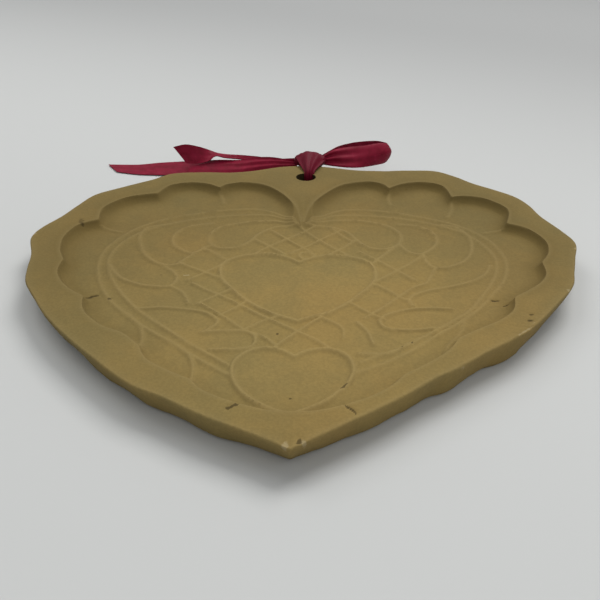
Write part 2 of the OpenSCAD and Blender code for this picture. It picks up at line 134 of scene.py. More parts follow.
lattice_lines = [
    [[-33, -8.4], [-29.6, -11.6], [-27.6, -16.4]], [[-29.8, 9.4], [-26.4, 11.8], [-20.6, 6]],
    [[-32.4, 3.6], [-28.2, 0.8], [-24.6, -1.6], [-20.6, -4.2]], [[-29.6, 9.4], [-33, 4]],
    [[-29.2, -5.2], [-24.6, -0.6], [-21.4, 3]],
    [[-27.8, -6.8], [-22.8, -10.8], [-18.4, -14], [-9.6, -21.6], [-4, -25.8], [4, -32]],
    [[-25.2, -16.8], [-21.6, -13.2], [-17.8, -9.8]], [[-19.2, -22], [-15.6, -18.4], [-13.4, -15.4]],
    [[-24.8, -16.4], [-18.8, -22], [-12.6, -28.4], [-8, -31.2], [-5, -34.8]],
    [[-12.8, -28], [-8.6, -24.2], [-5, -22.2]], [[-5.4, -34.8], [0, -28], [5, -22.6]],
    [[35.6, 1.8], [33.6, -3.2], [32.4, -6], [28.8, -8.2], [25.4, -12]],
    [[27.2, 15.4], [23.6, 10.8], [19.4, 4.6]], [[16, 11.2], [21.4, 5.2], [25.4, 0.6], [29.4, -4.4]],
    [[33.2, 9.2], [29.4, 4.6], [25.4, 0.6], [18.4, -6.4]],
    [[18.6, -6.2], [22, -9.6], [24.6, -12.6], [27.2, -15]],
    [[25, -12.2], [20.6, -17.6], [15.6, -22.6]], [[12.2, -15.6], [17, -20.6], [20, -23]],
    [[5, -22.4], [9.8, -26.6], [10.2, -31]], [[3.6, -31.8], [8, -36.4]],
    [[-13, 9.4], [-9, 14], [-4.4, 18.4], [0.4, 23], [3.6, 26.6]],
    [[-3.2, 9.6], [2, 14.6], [7, 19.8], [11, 24]], [[7.6, 9.2], [12, 14], [15.4, 18.2]],
    [[-13.6, 18.4], [-9, 14], [-4.6, 9.2]], [[-8.8, 24], [-4.4, 18.4], [2, 11.4]],
    [[-1, 27], [2.8, 20.6], [7, 15.4], [12.4, 9.4]], [[9, 25], [12, 20], [14.6, 17]]]
cusp_lines = [
    [[-27, 51], [-25.6, 47], [-24.8, 43]], [[27.6, 50.6], [27, 46.6], [27.4, 42.6]],
    [[-60, 26.4], [-56.4, 24], [-52.6, 22.6]], [[46.6, 44.4], [45.6, 38.6], [43.8, 34]],
    [[59.6, 25.6], [56, 24.4], [53, 23.6]],
    [[-41.6, -21.4], [-37.6, -26.6], [-36, -31.6], [-35.4, -37.6]],
    [[-31, -31.6], [-25.6, -36.4], [-23.2, -41], [-22.6, -46], [-22.4, -49.6]],
    [[39.2, -23], [37.6, -28.4], [33.6, -34], [32.4, -38.4]]]


def smooth_curve(points, steps):
    """Catmull-Rom curve. Each span is the cubic through its two points whose slope at a point is half
    the step between that point's neighbours."""
    p = np.asarray(points, float)
    a = np.vstack([p[:1], p[:-2]])[:, None]
    b, c = p[:-1, None], p[1:, None]
    d = np.vstack([p[2:], p[-1:]])[:, None]
    t = (np.arange(steps) / steps)[None, :, None]
    curve = 0.5 * (2 * b + (c - a) * t + (2 * a - 5 * b + 4 * c - d) * t ** 2
                   + (3 * b - a - 3 * c + d) * t ** 3)
    return np.vstack([curve.reshape(-1, p.shape[1]), p[-1:]])


def away_from(x, y, curve):
    """Distance from each point to a line of straight pieces: the least distance to any piece, found by
    dropping a perpendicular on it and stopping at its ends."""
    best = np.full(x.shape, 1e9)
    for (ax, ay), (bx, by) in zip(curve[:-1], curve[1:]):
        ux, uy = bx - ax, by - ay
        long2 = ux * ux + uy * uy
        if long2 < 1e-9:
            continue
        t = np.clip(((x - ax) * ux + (y - ay) * uy) / long2, 0, 1)
        best = np.minimum(best, (x - ax - t * ux) ** 2 + (y - ay - t * uy) ** 2)
    return np.sqrt(best)


def reach(outline, angle):
    """Distance from MIDDLE to a closed outline in each direction, straight between its points."""
    off = outline - MIDDLE
    return np.interp(angle, np.arctan2(off[:, 1], off[:, 0]), np.hypot(off[:, 0], off[:, 1]),
                     period=2 * math.pi)


def ramp(value, low, high):
    """0 up to low, 1 from high on, and a smooth cubic between."""
    t = np.clip((value - low) / (high - low), 0, 1)
    return t * t * (3 - 2 * t)


def swell(x, y, size):
    """Gentle unevenness from -1 to 1: the mean of five sine waves of about the given length, each in a
    direction of its own."""
    total = 0
    for turn, stretch, start in ((0.3, 1.0, 0.4), (1.4, 0.8, 2.1), (2.2, 1.3, 4.0),
                                 (3.5, 0.62, 1.2), (5.1, 0.9, 5.2)):
        along = x * math.cos(turn) + y * math.sin(turn)
        total = total + np.sin(along * 2 * math.pi / (size * stretch) + start)
    return total / 5


rim_outline = np.vstack([smooth_curve(rim_left, 8), smooth_curve(rim_right, 8)[::-1]])
foot_outline = np.vstack([smooth_curve(foot_left, 8), smooth_curve(foot_right, 8)[::-1]])
recess_outline = np.vstack([np.vstack([smooth_curve(row, 7) for row in scallops_left]),
                            np.vstack([smooth_curve(row, 7) for row in scallops_right])[::-1]])

# The top surface is a square sheet of cells, its square rings drawn out to the heart's outline, so
# that a ring lies along each edge. Its corners point between the notch, the lobes and the tip.
FLOOR_RINGS = 127
wall_steps = [-1.9, -1.5, -1.1, -0.75, -0.45, -0.2, 0.0, 0.15, 0.55]     # mm out from the recess edge
rim_shares = [0.14, 0.3, 0.46, 0.62, 0.78]                          # of the way across the rim
edge_steps = [-0.8, -0.5, -0.32, -0.17, -0.06, 0.0]                 # mm out from the rim's edge
RINGS = FLOOR_RINGS + len(wall_steps) + len(rim_shares) + len(edge_steps)
side = np.arange(-RINGS, RINGS + 1)
gx, gy = np.meshgrid(side, side, indexing="ij")
ring = np.maximum(np.abs(gx), np.abs(gy))
safe = np.maximum(ring, 1)
# place round the ring: 0 to 8 along the square's four sides, starting at a corner
around = np.where(gx == ring, 1 + gy / safe, 0.0)
around = np.where((gy == ring) & (gx < ring), 3 - gx / safe, around)
around = np.where((gx == -ring) & (gy < ring), 5 - gy / safe, around)
around = np.where((gy == -ring) & (gx > -ring) & (gx < ring), 7 + gx / safe, around)
angle = around * math.pi / 4 - math.pi / 4
to_recess = reach(recess_outline, angle)
to_rim = reach(rim_outline, angle)
# Towards the middle the rings lose the notch: they follow the recess averaged over nearby directions
turns = np.linspace(-24, 24, 49)                                    # degrees
weights = np.exp(-(turns / 8) ** 2)
to_soft = sum(weight * reach(recess_outline, angle + math.radians(turn))
              for turn, weight in zip(turns, weights)) / weights.sum() * 0.9
rim_from, rim_to = wall_steps[-1], edge_steps[0]
stations = [to_recess + step for step in wall_steps]
stations += [to_recess + rim_from + (to_rim + rim_to - to_recess - rim_from) * part for part in rim_shares]
stations += [to_rim + step for step in edge_steps]
share = np.minimum(ring, FLOOR_RINGS) / FLOOR_RINGS
keep = share ** 3
far = ((to_recess + wall_steps[0]) * keep + to_soft * (1 - keep)) * share
for number, station in enumerate(stations):
    far = np.where(ring == FLOOR_RINGS + 1 + number, station, far)
x = (MIDDLE[0] + far * np.cos(angle)).ravel()
y = (MIDDLE[1] + far * np.sin(angle)).ravel()
flat_angle, flat_far = angle.ravel(), far.ravel()

# Height of the top: the rim and its rounded edge, then the recess's wall, which has a crisp lip and a
# hollow foot, and is gentler at the notch, where a shallow trough runs down to the floor
ROUND = 0.5         # radius of the rim's outer edge, mm
LIP = 0.12          # how far outside the recess's outline its wall starts, mm
from_edge = away_from(x, y, rim_outline)
from_edge = np.where(ring.ravel() == RINGS, 0, from_edge)
from_wall = away_from(x, y, recess_outline) * np.where(flat_far < to_recess.ravel(), 1, -1)
wall_wide = 3.1 + 5 * np.exp(-((x / 7) ** 2 + ((y - 31) / 9) ** 2))
down = np.clip((from_wall + LIP) / wall_wide, 0, 1)
wall = (1 - (1 - down) ** 2.6) * ramp(from_wall, -LIP, 0.3)
trough = 0.85 * ramp(y, 45, 29) * ramp(y, 14, 26) * np.exp(-(x / 6) ** 2)
z = SLAB - CARVED * np.maximum(wall, trough)
z = z - (ROUND - np.sqrt(np.maximum(ROUND ** 2 - (ROUND - np.minimum(from_edge, ROUND)) ** 2, 0)))


def raised(lines, half_width, height, steps=5):
    """Height of a set of raised lines: each is a round-topped ridge, height times e to the power of minus
    1.1 times the square of the distance over half_width. Where two cross, the higher one is kept."""
    top = np.zeros_like(x)
    for line in lines:
        curve = smooth_curve(line, steps)
        low, high = curve.min(0) - 2, curve.max(0) + 2
        near = (x > low[0]) & (x < high[0]) & (y > low[1]) & (y < high[1])
        gap = away_from(x[near], y[near], curve)
        top[near] = np.maximum(top[near], height * np.exp(-(gap / half_width) ** 2 * 1.1))
    return top


# Half width and height of each set of lines, mm; then a small ring in the large heart's notch
relief = np.zeros_like(x)
for lines, half_width, height in ((heart_lines, 0.72, 0.78), (frame_lines, 0.64, 0.5),
                                  (leaf_lines, 0.64, 0.62), (lattice_lines, 0.58, 0.58),
                                  (cusp_lines, 0.6, 0.5)):
    relief = np.maximum(relief, raised(lines, half_width, height))
RING_AT, RING_RADIUS = (1.4, 8.6), 2.0
ring_gap = np.abs(np.hypot(x - RING_AT[0], y - RING_AT[1]) - RING_RADIUS)
relief = np.maximum(relief, 0.5 * np.exp(-(ring_gap / 0.6) ** 2))
relief = relief * ramp(from_wall, 0.5, 1.8) * (0.9 + 0.3 * swell(x + 5, y, 13))     # worn here and there
z = z + relief
z = z + 0.06 * swell(x, y, 34) + 0.035 * swell(y, x, 11)

# Small damage. Pits are (x, y, radius, depth), with painted shade in them. A scratch runs from one point
# to another, with a half width, a depth, and how pale it is: 1 shows pale clay, 0 holds painted shade.
pits = [(-47.5, -14.5, 0.6, 0.35), (-38.5, -43.9, 0.55, 0.4), (-5.1, -29.2, 0.4, 0.2),
        (-1.5, -52.8, 0.35, 0.15), (39.1, 3, 0.5, 0.3), (54.4, -23.5, 0.6, 0.4),
        (25.6, -32.8, 0.4, 0.25), (23.2, -34.4, 0.35, 0.2)]
scratches = [((-53.2, -14), (-51.2, -12.4), 0.6, 0.35, 0), ((-65, 26.4), (-64.4, 24), 0.7, 0.15, 0),
             ((-30.8, -2.2), (-29.7, -2), 0.4, 0.1, 1), ((47.6, -14), (49.2, -13.7), 0.4, 0.25, 0),
             ((49.4, -16.5), (51.1, -16.2), 0.35, 0.25, 0), ((53.6, -26), (49.4, -29.3), 0.35, 0.25, 0),
             ((49.6, -32.2), (53.6, -28.6), 0.35, 0.25, 0.7),
             ((51.6, -29.4), (54.6, -26.8), 0.3, 0.2, 0.7),
             ((34.8, -44.8), (36.8, -43.3), 0.5, 0.3, 1), ((-13.6, -58.7), (-11.1, -56.7), 0.5, 0.4, 0),
             ((7.7, -56.8), (9, -57), 0.5, 0.4, 0), ((9, -57), (11.6, -59.8), 0.4, 0.35, 0),
             ((9.1, -49.6), (10.3, -48.2), 0.4, 0.35, 0), ((-1.6, -68.9), (0.8, -68.2), 0.45, 0.3, 0)]
chipped = np.zeros_like(x)
# Painted shade in the pits and the dark scratches
painted_cut_shade = np.zeros_like(x)
for px, py, size, deep in pits:
    mark = np.exp(-((x - px) ** 2 + (y - py) ** 2) / size ** 2)
    z = z - deep * mark
    painted_cut_shade = np.maximum(painted_cut_shade, mark)
for start, stop, size, deep, pale_share in scratches:
    ragged = size * (0.8 + 0.9 * swell(x, y + 7, 1.8))
    mark = np.exp(-(away_from(x, y, np.array([start, stop], float)) / ragged) ** 2)
    z = z - deep * mark
    chipped = np.maximum(chipped, pale_share * mark)
    painted_cut_shade = np.maximum(painted_cut_shade, (1 - pale_share) * mark)
# Bites out of the rim's outer edge: (x, y, radius, depth)
bites = [(75.4, 10, 1.0, 0.3), (66.8, -12.4, 0.8, 0.2), (-2, -69.2, 0.9, 0.35), (1.4, -68.4, 0.7, 0.3),
         (-75.9, 17, 0.8, 0.2)]
for px, py, size, deep in bites:
    ragged = size * (1 + 0.35 * swell(x + 9, y, 1.7))
    mark = np.exp(-((x - px) ** 2 + (y - py) ** 2) / ragged ** 2) * ramp(from_edge, 2.4, 0.2)
    z = z - deep * mark * ramp(from_edge, 0, 0.6)
    chipped = np.maximum(chipped, mark)

# The side: rings from the rim's edge in and down to the foot, which has a small round of its own
side_drop = np.array([0.12, 0.3, 0.5, 0.7, 0.82, 0.9, 0.96, 1.0])[:, None]     # share of the height
edge_at = np.nonzero(ring.ravel() == RINGS)[0]
edge_at = edge_at[np.argsort(around.ravel()[edge_at])]
ex, ey, ez = x[edge_at], y[edge_at], z[edge_at]
edge_angle = flat_angle[edge_at]
lean = side_drop ** 1.25
uneven = 0.6 * swell(ex + 40, ey, 17) + 0.12 * swell(ey + 11, ex, 5)
side_far = (flat_far[edge_at] * (1 - lean) + reach(foot_outline, edge_angle) * lean
            + uneven * side_drop ** 0.7 - 0.9 * ramp(side_drop, 0.8, 1.0) ** 1.5)
sx = MIDDLE[0] + side_far * np.cos(edge_angle)
sy = MIDDLE[1] + side_far * np.sin(edge_angle)
sz = ez * (1 - side_drop)
all_points = np.stack([np.concatenate([x, sx.ravel()]), np.concatenate([y, sy.ravel()]),
                       np.concatenate([z, sz.ravel()])], -1)

# The marks that colour the clay: chips, painted shade in the pits and dark scratches, a painted
# highlight on the tops of the lines, painted shade at the foot of the recess's wall, which is weaker
# towards the front, and a painted highlight along the edges
plain_side = np.zeros(sz.size)
# Painted shade at the foot of the recess's wall, weaker towards the front
painted_wall_shade = np.exp(-((from_wall - 1.2) / 3.0) ** 2) * (0.25 + 0.75 * ramp(y, -50, 5))
# Painted highlight along the recess's lip, the rim's outer edge and the top of the side
painted_edge_highlight = np.exp(-((from_wall + 0.2) / 0.4) ** 2) + np.exp(-((from_edge - 0.3) / 0.5) ** 2)
side_edge_highlight = np.broadcast_to(np.exp(-side_drop * 12), sx.shape).ravel()
marks = {"chipped": (chipped, (chipped[edge_at] * np.exp(-side_drop * 3)).ravel()),
         "painted_cut_shade": (painted_cut_shade, plain_side),
         # painted highlight on the tops of the raised lines
         "painted_crest_highlight": (np.clip(relief / 0.6, 0, 1), plain_side),
         "painted_wall_shade": (painted_wall_shade, plain_side),
         "painted_edge_highlight": (painted_edge_highlight, side_edge_highlight)}

index = np.arange(len(x)).reshape(ring.shape)
top_faces = np.stack([index[:-1, :-1], index[1:, :-1], index[1:, 1:], index[:-1, 1:]], -1).reshape(-1, 4)
loops = np.vstack([edge_at[None], len(x) + np.arange(sz.size).reshape(sz.shape)])
after = np.roll(loops, -1, axis=1)
side_faces = np.stack([loops[:-1], loops[1:], after[1:], after[:-1]], -1).reshape(-1, 4)
clay_faces = top_faces.tolist() + side_faces.tolist() + [loops[-1][::-1].tolist()]


def in_scene(data):
    """An object of a mesh, light or camera, with its name, put in the scene."""
    made = bpy.data.objects.new(data.name, data)
    bpy.context.scene.collection.objects.link(made)
    return made


def mesh_of(name, points, faces):
    """A mesh from points in millimetres."""
    made = bpy.data.meshes.new(name)
    made.from_pydata(points * MM, [], faces)
    return made


def give_values(mesh, name, values):
    """One number for each point of a mesh."""
    mesh.attributes.new(name, "FLOAT", "POINT").data.foreach_set("value", values.astype(np.float32))


mesh = mesh_of("clay_mould", all_points, clay_faces)
for name, (top_values, side_values) in marks.items():
    give_values(mesh, name, np.concatenate([top_values, side_values]))
mesh.update()
clay_mould = in_scene(mesh)

# The hole is drilled, and the ribbon's channel cut from it to the back, on the underside
HOLE = (0.8, 59.8)          # mm
HOLE_RADIUS = 3.2
HOLE_SIDES = 96
CHANNEL_HALF, CHANNEL_HIGH, CHANNEL_END = 4.0, 1.0, 74.0
BELOW, ABOVE = -2.0, 11.0   # both cutters run past the clay
k = np.arange(HOLE_SIDES)
turn = k * 2 * math.pi / HOLE_SIDES
hole_points = np.vstack([np.stack([HOLE[0] + HOLE_RADIUS * np.cos(turn), HOLE[1] + HOLE_RADIUS * np.sin(turn),
                                   np.full(HOLE_SIDES, level)], -1) for level in (BELOW, ABOVE)])
k_after = (k + 1) % HOLE_SIDES
hole_faces = np.stack([k, k_after, k_after + HOLE_SIDES, k + HOLE_SIDES], -1).tolist()
hole_faces += [k[::-1].tolist(), (k + HOLE_SIDES).tolist()]
channel_points = np.array([[cx, cy, cz] for cx in (HOLE[0] - CHANNEL_HALF, HOLE[0] + CHANNEL_HALF)
                           for cy in (HOLE[1], CHANNEL_END) for cz in (BELOW, CHANNEL_HIGH)])
channel_faces = [[0, 1, 3, 2], [4, 6, 7, 5], [0, 4, 5, 1], [2, 3, 7, 6], [0, 2, 6, 4], [1, 5, 7, 3]]
for cutter_mesh in (mesh_of("hole", hole_points, hole_faces),
                    mesh_of("channel", channel_points, channel_faces)):
    cutter = in_scene(cutter_mesh)
    cut = clay_mould.modifiers.new(cutter_mesh.name, "BOOLEAN")
    cut.operation, cut.solver, cut.object = "DIFFERENCE", "EXACT", cutter
    bpy.context.view_layer.update()
    evaluated = clay_mould.evaluated_get(bpy.context.evaluated_depsgraph_get())
    cut_mesh = bpy.data.meshes.new_from_object(evaluated)
    clay_mould.modifiers.clear()
    clay_mould.data = cut_mesh
    bpy.data.objects.remove(cutter)
clay_mould.data.name = "clay_mould"
clay_mould.data.shade_smooth()
clay_mould.data.set_sharp_from_angle(angle=math.radians(48))


def colour_ramp(nodes, links, value, stops):
    """The colour that a value picks from the given (place, colour) stops, smooth between them."""
    node = nodes.new("ShaderNodeValToRGB")
    node.color_ramp.interpolation = "EASE"
    while len(node.color_ramp.elements) > 1:
        node.color_ramp.elements.remove(node.color_ramp.elements[-1])
    first = node.color_ramp.elements[0]
    first.position, first.color = stops[0][0], (*stops[0][1], 1)
    for place, colour in stops[1:]:
        node.color_ramp.elements.new(place).color = (*colour, 1)
    links.new(value, node.inputs["Fac"])
    return node.outputs["Color"]


def speckle(nodes, links, where, scale, detail, roughness=0.5):
    """A noise texture read at the given coordinates, in cycles a metre."""
    node = nodes.new("ShaderNodeTexNoise")
    node.inputs["Scale"].default_value = scale
    node.inputs["Detail"].default_value = detail
    node.inputs["Roughness"].default_value = roughness
    links.new(where, node.inputs["Vector"])
    return node.outputs["Fac"]


def blended(nodes, links, amount, first, second, kind="MIX"):
    """Two colours mixed by an amount; each is a socket or a plain colour."""
    node = nodes.new("ShaderNodeMix")
    node.data_type, node.blend_type = "RGBA", kind
    for socket, value in ((node.inputs[0], amount), (node.inputs[6], first), (node.inputs[7], second)):
        if isinstance(value, (int, float)):
            socket.default_value = value
        elif isinstance(value, tuple):
            socket.default_value = (*value, 1)
        else:
            links.new(value, socket)
    return node.outputs[2]


def sum_of(nodes, links, kind, first, second):
    """A math node on two numbers or sockets."""
    node = nodes.new("ShaderNodeMath")
    node.operation = kind
    for socket, value in ((node.inputs[0], first), (node.inputs[1], second)):
        if isinstance(value, (int, float)):
            socket.default_value = value
        else:
            links.new(value, socket)
    return node.outputs[0]


def vector_of(nodes, links, kind, where, second):
    """A vector math node on a place and a plain vector: a number for a distance or a dot product."""
    node = nodes.new("ShaderNodeVectorMath")
    node.operation = kind
    links.new(where, node.inputs[0])
    node.inputs[1].default_value = second
    return node.outputs["Vector" if kind == "MULTIPLY" else "Value"]


def mark_on(nodes, name):
    """The value of an attribute of the piece's points."""
    node = nodes.new("ShaderNodeAttribute")
    node.attribute_name = name
    return node.outputs["Fac"]


# Unglazed stoneware: khaki tan with browner and greener clouds, fine sandy grain, a few dark pores
clay = bpy.data.materials.new("fired_clay")
clay.use_nodes = True
nodes, links = clay.node_tree.nodes, clay.node_tree.links
shader = nodes["Principled BSDF"]
where = nodes.new("ShaderNodeTexCoord").outputs["Object"]
colour = colour_ramp(nodes, links, speckle(nodes, links, where, 28, 3, 0.55),
                     [(0.34, (0.258, 0.188, 0.066)), (0.5, (0.268, 0.19, 0.065)),
                      (0.66, (0.28, 0.192, 0.064))])
patchy = colour_ramp(nodes, links, speckle(nodes, links, where, 95, 4, 0.6),
                     [(0.4, (0.95, 0.96, 0.96)), (0.64, (1.04, 1.03, 1.0))])
colour = blended(nodes, links, 1.0, colour, patchy, "MULTIPLY")
grain = speckle(nodes, links, where, 1500, 3, 0.65)
grainy = colour_ramp(nodes, links, grain, [(0.36, (0.93, 0.93, 0.93)), (0.66, (1.05, 1.05, 1.05))])
colour = blended(nodes, links, 1.0, colour, grainy, "MULTIPLY")
pores = nodes.new("ShaderNodeTexVoronoi")
pores.inputs["Scale"].default_value = 260
links.new(where, pores.inputs["Vector"])
pore = colour_ramp(nodes, links, pores.outputs["Distance"], [(0.0, (1, 1, 1)), (0.1, (0, 0, 0))])
few = colour_ramp(nodes, links, speckle(nodes, links, where, 70, 2), [(0.6, (0, 0, 0)), (0.66, (1, 1, 1))])
pore_mask = sum_of(nodes, links, "MULTIPLY", pore, few)
colour = blended(nodes, links, sum_of(nodes, links, "MULTIPLY", pore_mask, 0.5), colour, (0.09, 0.065, 0.03))

# Painted shade: darker and browner away from the middle of the floor, and painted shade inside the hole
# Painted shade where the light falls off towards the rim
from_floor = vector_of(nodes, links, "DISTANCE", where, (0.006, -0.024, 0.006))
painted_falloff_shade = colour_ramp(nodes, links, sum_of(nodes, links, "MULTIPLY", from_floor, 10.5),
                     [(0.15, (1.0, 1.0, 1.0)), (0.85, (0.7, 0.71, 0.72))])
colour = blended(nodes, links, 1.0, colour, painted_falloff_shade, "MULTIPLY")
flat_place = vector_of(nodes, links, "MULTIPLY", where, (1, 1, 0))
from_hole = vector_of(nodes, links, "DISTANCE", flat_place, (HOLE[0] * MM, HOLE[1] * MM, 0))
# Painted shade inside the hole
painted_hole_shade = colour_ramp(nodes, links, sum_of(nodes, links, "MULTIPLY", from_hole, 100),
                     [(0.325, (0.22, 0.2, 0.18)), (0.34, (1, 1, 1))])
colour = blended(nodes, links, 1.0, colour, painted_hole_shade, "MULTIPLY")

# The plain marks, all painted light (shade at the recess's wall foot, highlights on the line tops and edges):
# attribute, amount and colour
for name, amount, tint in (("painted_wall_shade", 0.58, (0.14, 0.096, 0.028)), ("painted_crest_highlight", 0.2, (0.43, 0.32, 0.14)),
                           ("painted_edge_highlight", 0.12, (0.42, 0.33, 0.16))):
    colour = blended(nodes, links, sum_of(nodes, links, "MULTIPLY", mark_on(nodes, name), amount), colour, tint)
# Chips and the painted shade in pits and dark scratches, made ragged by the grain: attribute, what the
# grain is raised by, the value from which the mark is whole, amount and colour
for name, lift, whole, amount, tint in (("chipped", 0.35, 0.55, 0.36, (0.44, 0.37, 0.23)),
                                        ("painted_cut_shade", 0.45, 0.6, 0.66, (0.03, 0.019, 0.007))):
    broken = sum_of(nodes, links, "MULTIPLY", mark_on(nodes, name), sum_of(nodes, links, "ADD", grain, lift))
    spots = colour_ramp(nodes, links, broken, [(0.3, (0, 0, 0)), (whole, (1, 1, 1))])
    colour = blended(nodes, links, sum_of(nodes, links, "MULTIPLY", spots, amount), colour, tint)
links.new(colour, shader.inputs["Base Color"])
shader.inputs["Roughness"].default_value = 0.86
shader.inputs["Specular IOR Level"].default_value = 0.15
sandy = sum_of(nodes, links, "MULTIPLY", speckle(nodes, links, where, 420, 3), 1.2)
rough_height = sum_of(nodes, links, "SUBTRACT", sum_of(nodes, links, "ADD", grain, sandy), pore_mask)


def bumped(nodes, links, shader, height, strength, distance):
    """Fine roughness from a height, on the shader's normal."""
    node = nodes.new("ShaderNodeBump")
    node.inputs["Strength"].default_value = strength
    node.inputs["Distance"].default_value = distance
    links.new(height, node.inputs["Height"])
    links.new(node.outputs["Normal"], shader.inputs["Normal"])


bumped(nodes, links, shader, rough_height, 0.35, 0.0002)
clay_mould.data.materials.clear()
clay_mould.data.materials.append(clay)
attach(clay_mould, "root")
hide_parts("mold_body")

# ---------------------------------------------------------------------------------------------
# Ribbon. One strip of 8 mm burgundy satin, threaded through the hole and tied in half a bow at the
# back of the tab. Each stretch is drawn by its two edges, from the knot outwards.
THICK = 0.22            # mm
RIBBON_WIDE = 0.008     # m


def give_uv(mesh, uv):
    """The UV of each corner of a mesh, from that of its point."""
    corner = np.empty(len(mesh.loops), np.int32)
    mesh.loops.foreach_get("vertex_index", corner)
    mesh.uv_layers.new(name="UVMap").data.foreach_set("uv", uv[corner].astype(np.float32).ravel())


def strip(name, edge_a, edge_b, bows, pleats, waves=5, steps=9, across=26):
    """A ribbon drawn between two edge curves. Across it, the surface stands off the straight line
    between its edges by bow times half a sine wave, plus pleat times a sine of several half waves. Two
    such sheets, THICK apart, are joined round the edges. UV is the place across, then the distance
    along, in metres."""
    a, b = smooth_curve(edge_a, steps), smooth_curve(edge_b, steps)
    rows = len(a)
    station = np.linspace(0, 1, rows)
    bow = np.interp(station, np.linspace(0, 1, len(bows)), bows)[:, None]
    pleat = np.interp(station, np.linspace(0, 1, len(pleats)), pleats)[:, None]
    middle = (a + b) / 2
    out = np.cross(np.gradient(middle, axis=0), b - a)
    out /= np.linalg.norm(out, axis=1)[:, None]
    share = np.linspace(0, 1, across)[None]
    drift = 0.8 * np.sin(9 * station[:, None])
    stand = bow * np.sin(math.pi * share) + pleat * np.sin(math.pi * waves * share + drift)
    sheet = a[:, None] * (1 - share[..., None]) + b[:, None] * share[..., None]
    sheet = sheet + out[:, None] * stand[..., None]
    upper = sheet + out[:, None] * THICK / 2
    lower = sheet - out[:, None] * THICK / 2
    grid = np.concatenate([upper, lower[:, ::-1]], axis=1)
    wide = grid.shape[1]
    index = np.arange(rows * wide).reshape(rows, wide)
    after = np.roll(index, -1, axis=1)
    faces = np.stack([index[:-1], after[:-1], after[1:], index[1:]], -1).reshape(-1, 4).tolist()
    first, last = [np.stack([index[r, :across - 1], index[r, wide - 1:across:-1],
                             index[r, wide - 2:across - 1:-1], index[r, 1:across]], -1) for r in (0, -1)]
    faces += first.tolist() + last[:, ::-1].tolist()
    mesh = mesh_of(name, grid.reshape(-1, 3), faces)
    far = np.concatenate([[0], np.cumsum(np.linalg.norm(np.diff(middle, axis=0), axis=1))]) * MM
    place = np.concatenate([share[0], share[0][::-1]]) * RIBBON_WIDE
    give_uv(mesh, np.stack(np.broadcast_arrays(place, far[:, None]), -1).reshape(-1, 2))
    mesh.shade_smooth()
    mesh.set_sharp_from_angle(angle=math.radians(60))
    mesh.update()
    return in_scene(mesh), middle * MM, far[-1]


# Satin: long floating threads give a soft stripe of light, and the weave is 0.12 mm lines. On the
# strap and the knot, pulled tight, a painted shade makes the ribbon darker.
satin = bpy.data.materials.new("satin_ribbon")
satin.use_nodes = True
nodes, links = satin.node_tree.nodes, satin.node_tree.links
shader = nodes["Principled BSDF"]
weave_place = nodes.new("ShaderNodeTexCoord").outputs["UV"]
threads = nodes.new("ShaderNodeTexWave")
threads.bands_direction = "Y"
threads.inputs["Scale"].default_value = 1300
threads.inputs["Distortion"].default_value = 1.5
threads.inputs["Detail"].default_value = 1
links.new(weave_place, threads.inputs["Vector"])
dye = colour_ramp(nodes, links, speckle(nodes, links, weave_place, 300, 2),
                  [(0.3, (0.17, 0.005, 0.019)), (0.55, (0.215, 0.007, 0.027)), (0.75, (0.26, 0.011, 0.037))])
thread_tone = colour_ramp(nodes, links, threads.outputs["Fac"],
                          [(0.1, (0.82, 0.82, 0.82)), (0.8, (1.12, 1.12, 1.12))])
woven = blended(nodes, links, 1.0, dye, thread_tone, "MULTIPLY")
# Painted shade darkens the strap and the knot to this deeper red
dyed_and_shaded = blended(nodes, links, mark_on(nodes, "painted_ribbon_shade"), woven, (0.125, 0.003, 0.015))
links.new(dyed_and_shaded, shader.inputs["Base Color"])
shader.inputs["Roughness"].default_value = 0.48
shader.inputs["Specular IOR Level"].default_value = 0.1
bumped(nodes, links, shader, threads.outputs["Fac"], 0.3, 0.00005)


def finish_ribbon(piece, node_replaced, painted_ribbon_shade=False):
    """The finish and the body of one stretch of ribbon."""
    if painted_ribbon_shade:
        give_values(piece.data, "painted_ribbon_shade", np.ones(len(piece.data.vertices)))
    piece.data.materials.append(satin)
    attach(piece, "root")
    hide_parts(node_replaced)


# Strap. The ribbon's middle, gathered narrow through the hole, over the back of the tab, down behind
# it and back through the channel underneath. It is pulled tight, so it takes the tab's shape.
strap_left = [[0.2, 62.2, 1.0], [0.2, 62.2, 4.5], [0.2, 62.3, 7.4], [0.1, 63.6, 8.6], [-0.6, 66, 8.9],
              [-1.6, 69, 9.3], [-2.4, 71, 9.7], [-2.8, 72.8, 9.9], [-2.8, 74.6, 9.6], [-2.4, 75.8, 8.4],
              [-1.8, 74.6, 6.4], [-1.5, 71.9, 4.4], [-1.4, 68.6, 1.6], [-1.4, 65.6, 0.45], [-1, 63, 0.4]]
strap_right = [[3.4, 62.2, 1.0], [3.4, 62.2, 4.5], [3.5, 62.3, 7.4], [3.9, 63.6, 8.6], [4.9, 66, 8.9],
               [6.1, 69, 9.1], [6.9, 71, 9.3], [7.2, 72.8, 9.5], [7.1, 74.6, 9.3], [6.7, 75.8, 8.2],
               [6.3, 74.6, 6.4], [6, 71.9, 4.4], [5.8, 68.6, 1.6], [5.8, 65.6, 0.45], [5.4, 63, 0.4]]
strap, _, _ = strip("ribbon_strap", strap_left, strap_right,
                    bows=[-0.5, -0.6, -0.8, -1.0, -1.2, -1.5, -1.8, -2.0, -1.8, -1.2, -0.5, 0, 0, 0, 0],
                    pleats=[0.1, 0.2, 0.3, 0.3, 0.3, 0.3, 0.28, 0.2, 0.14, 0.12, 0.1, 0.08, 0.05, 0.02, 0])
finish_ribbon(strap, "ribbon_ring", painted_ribbon_shade=True)

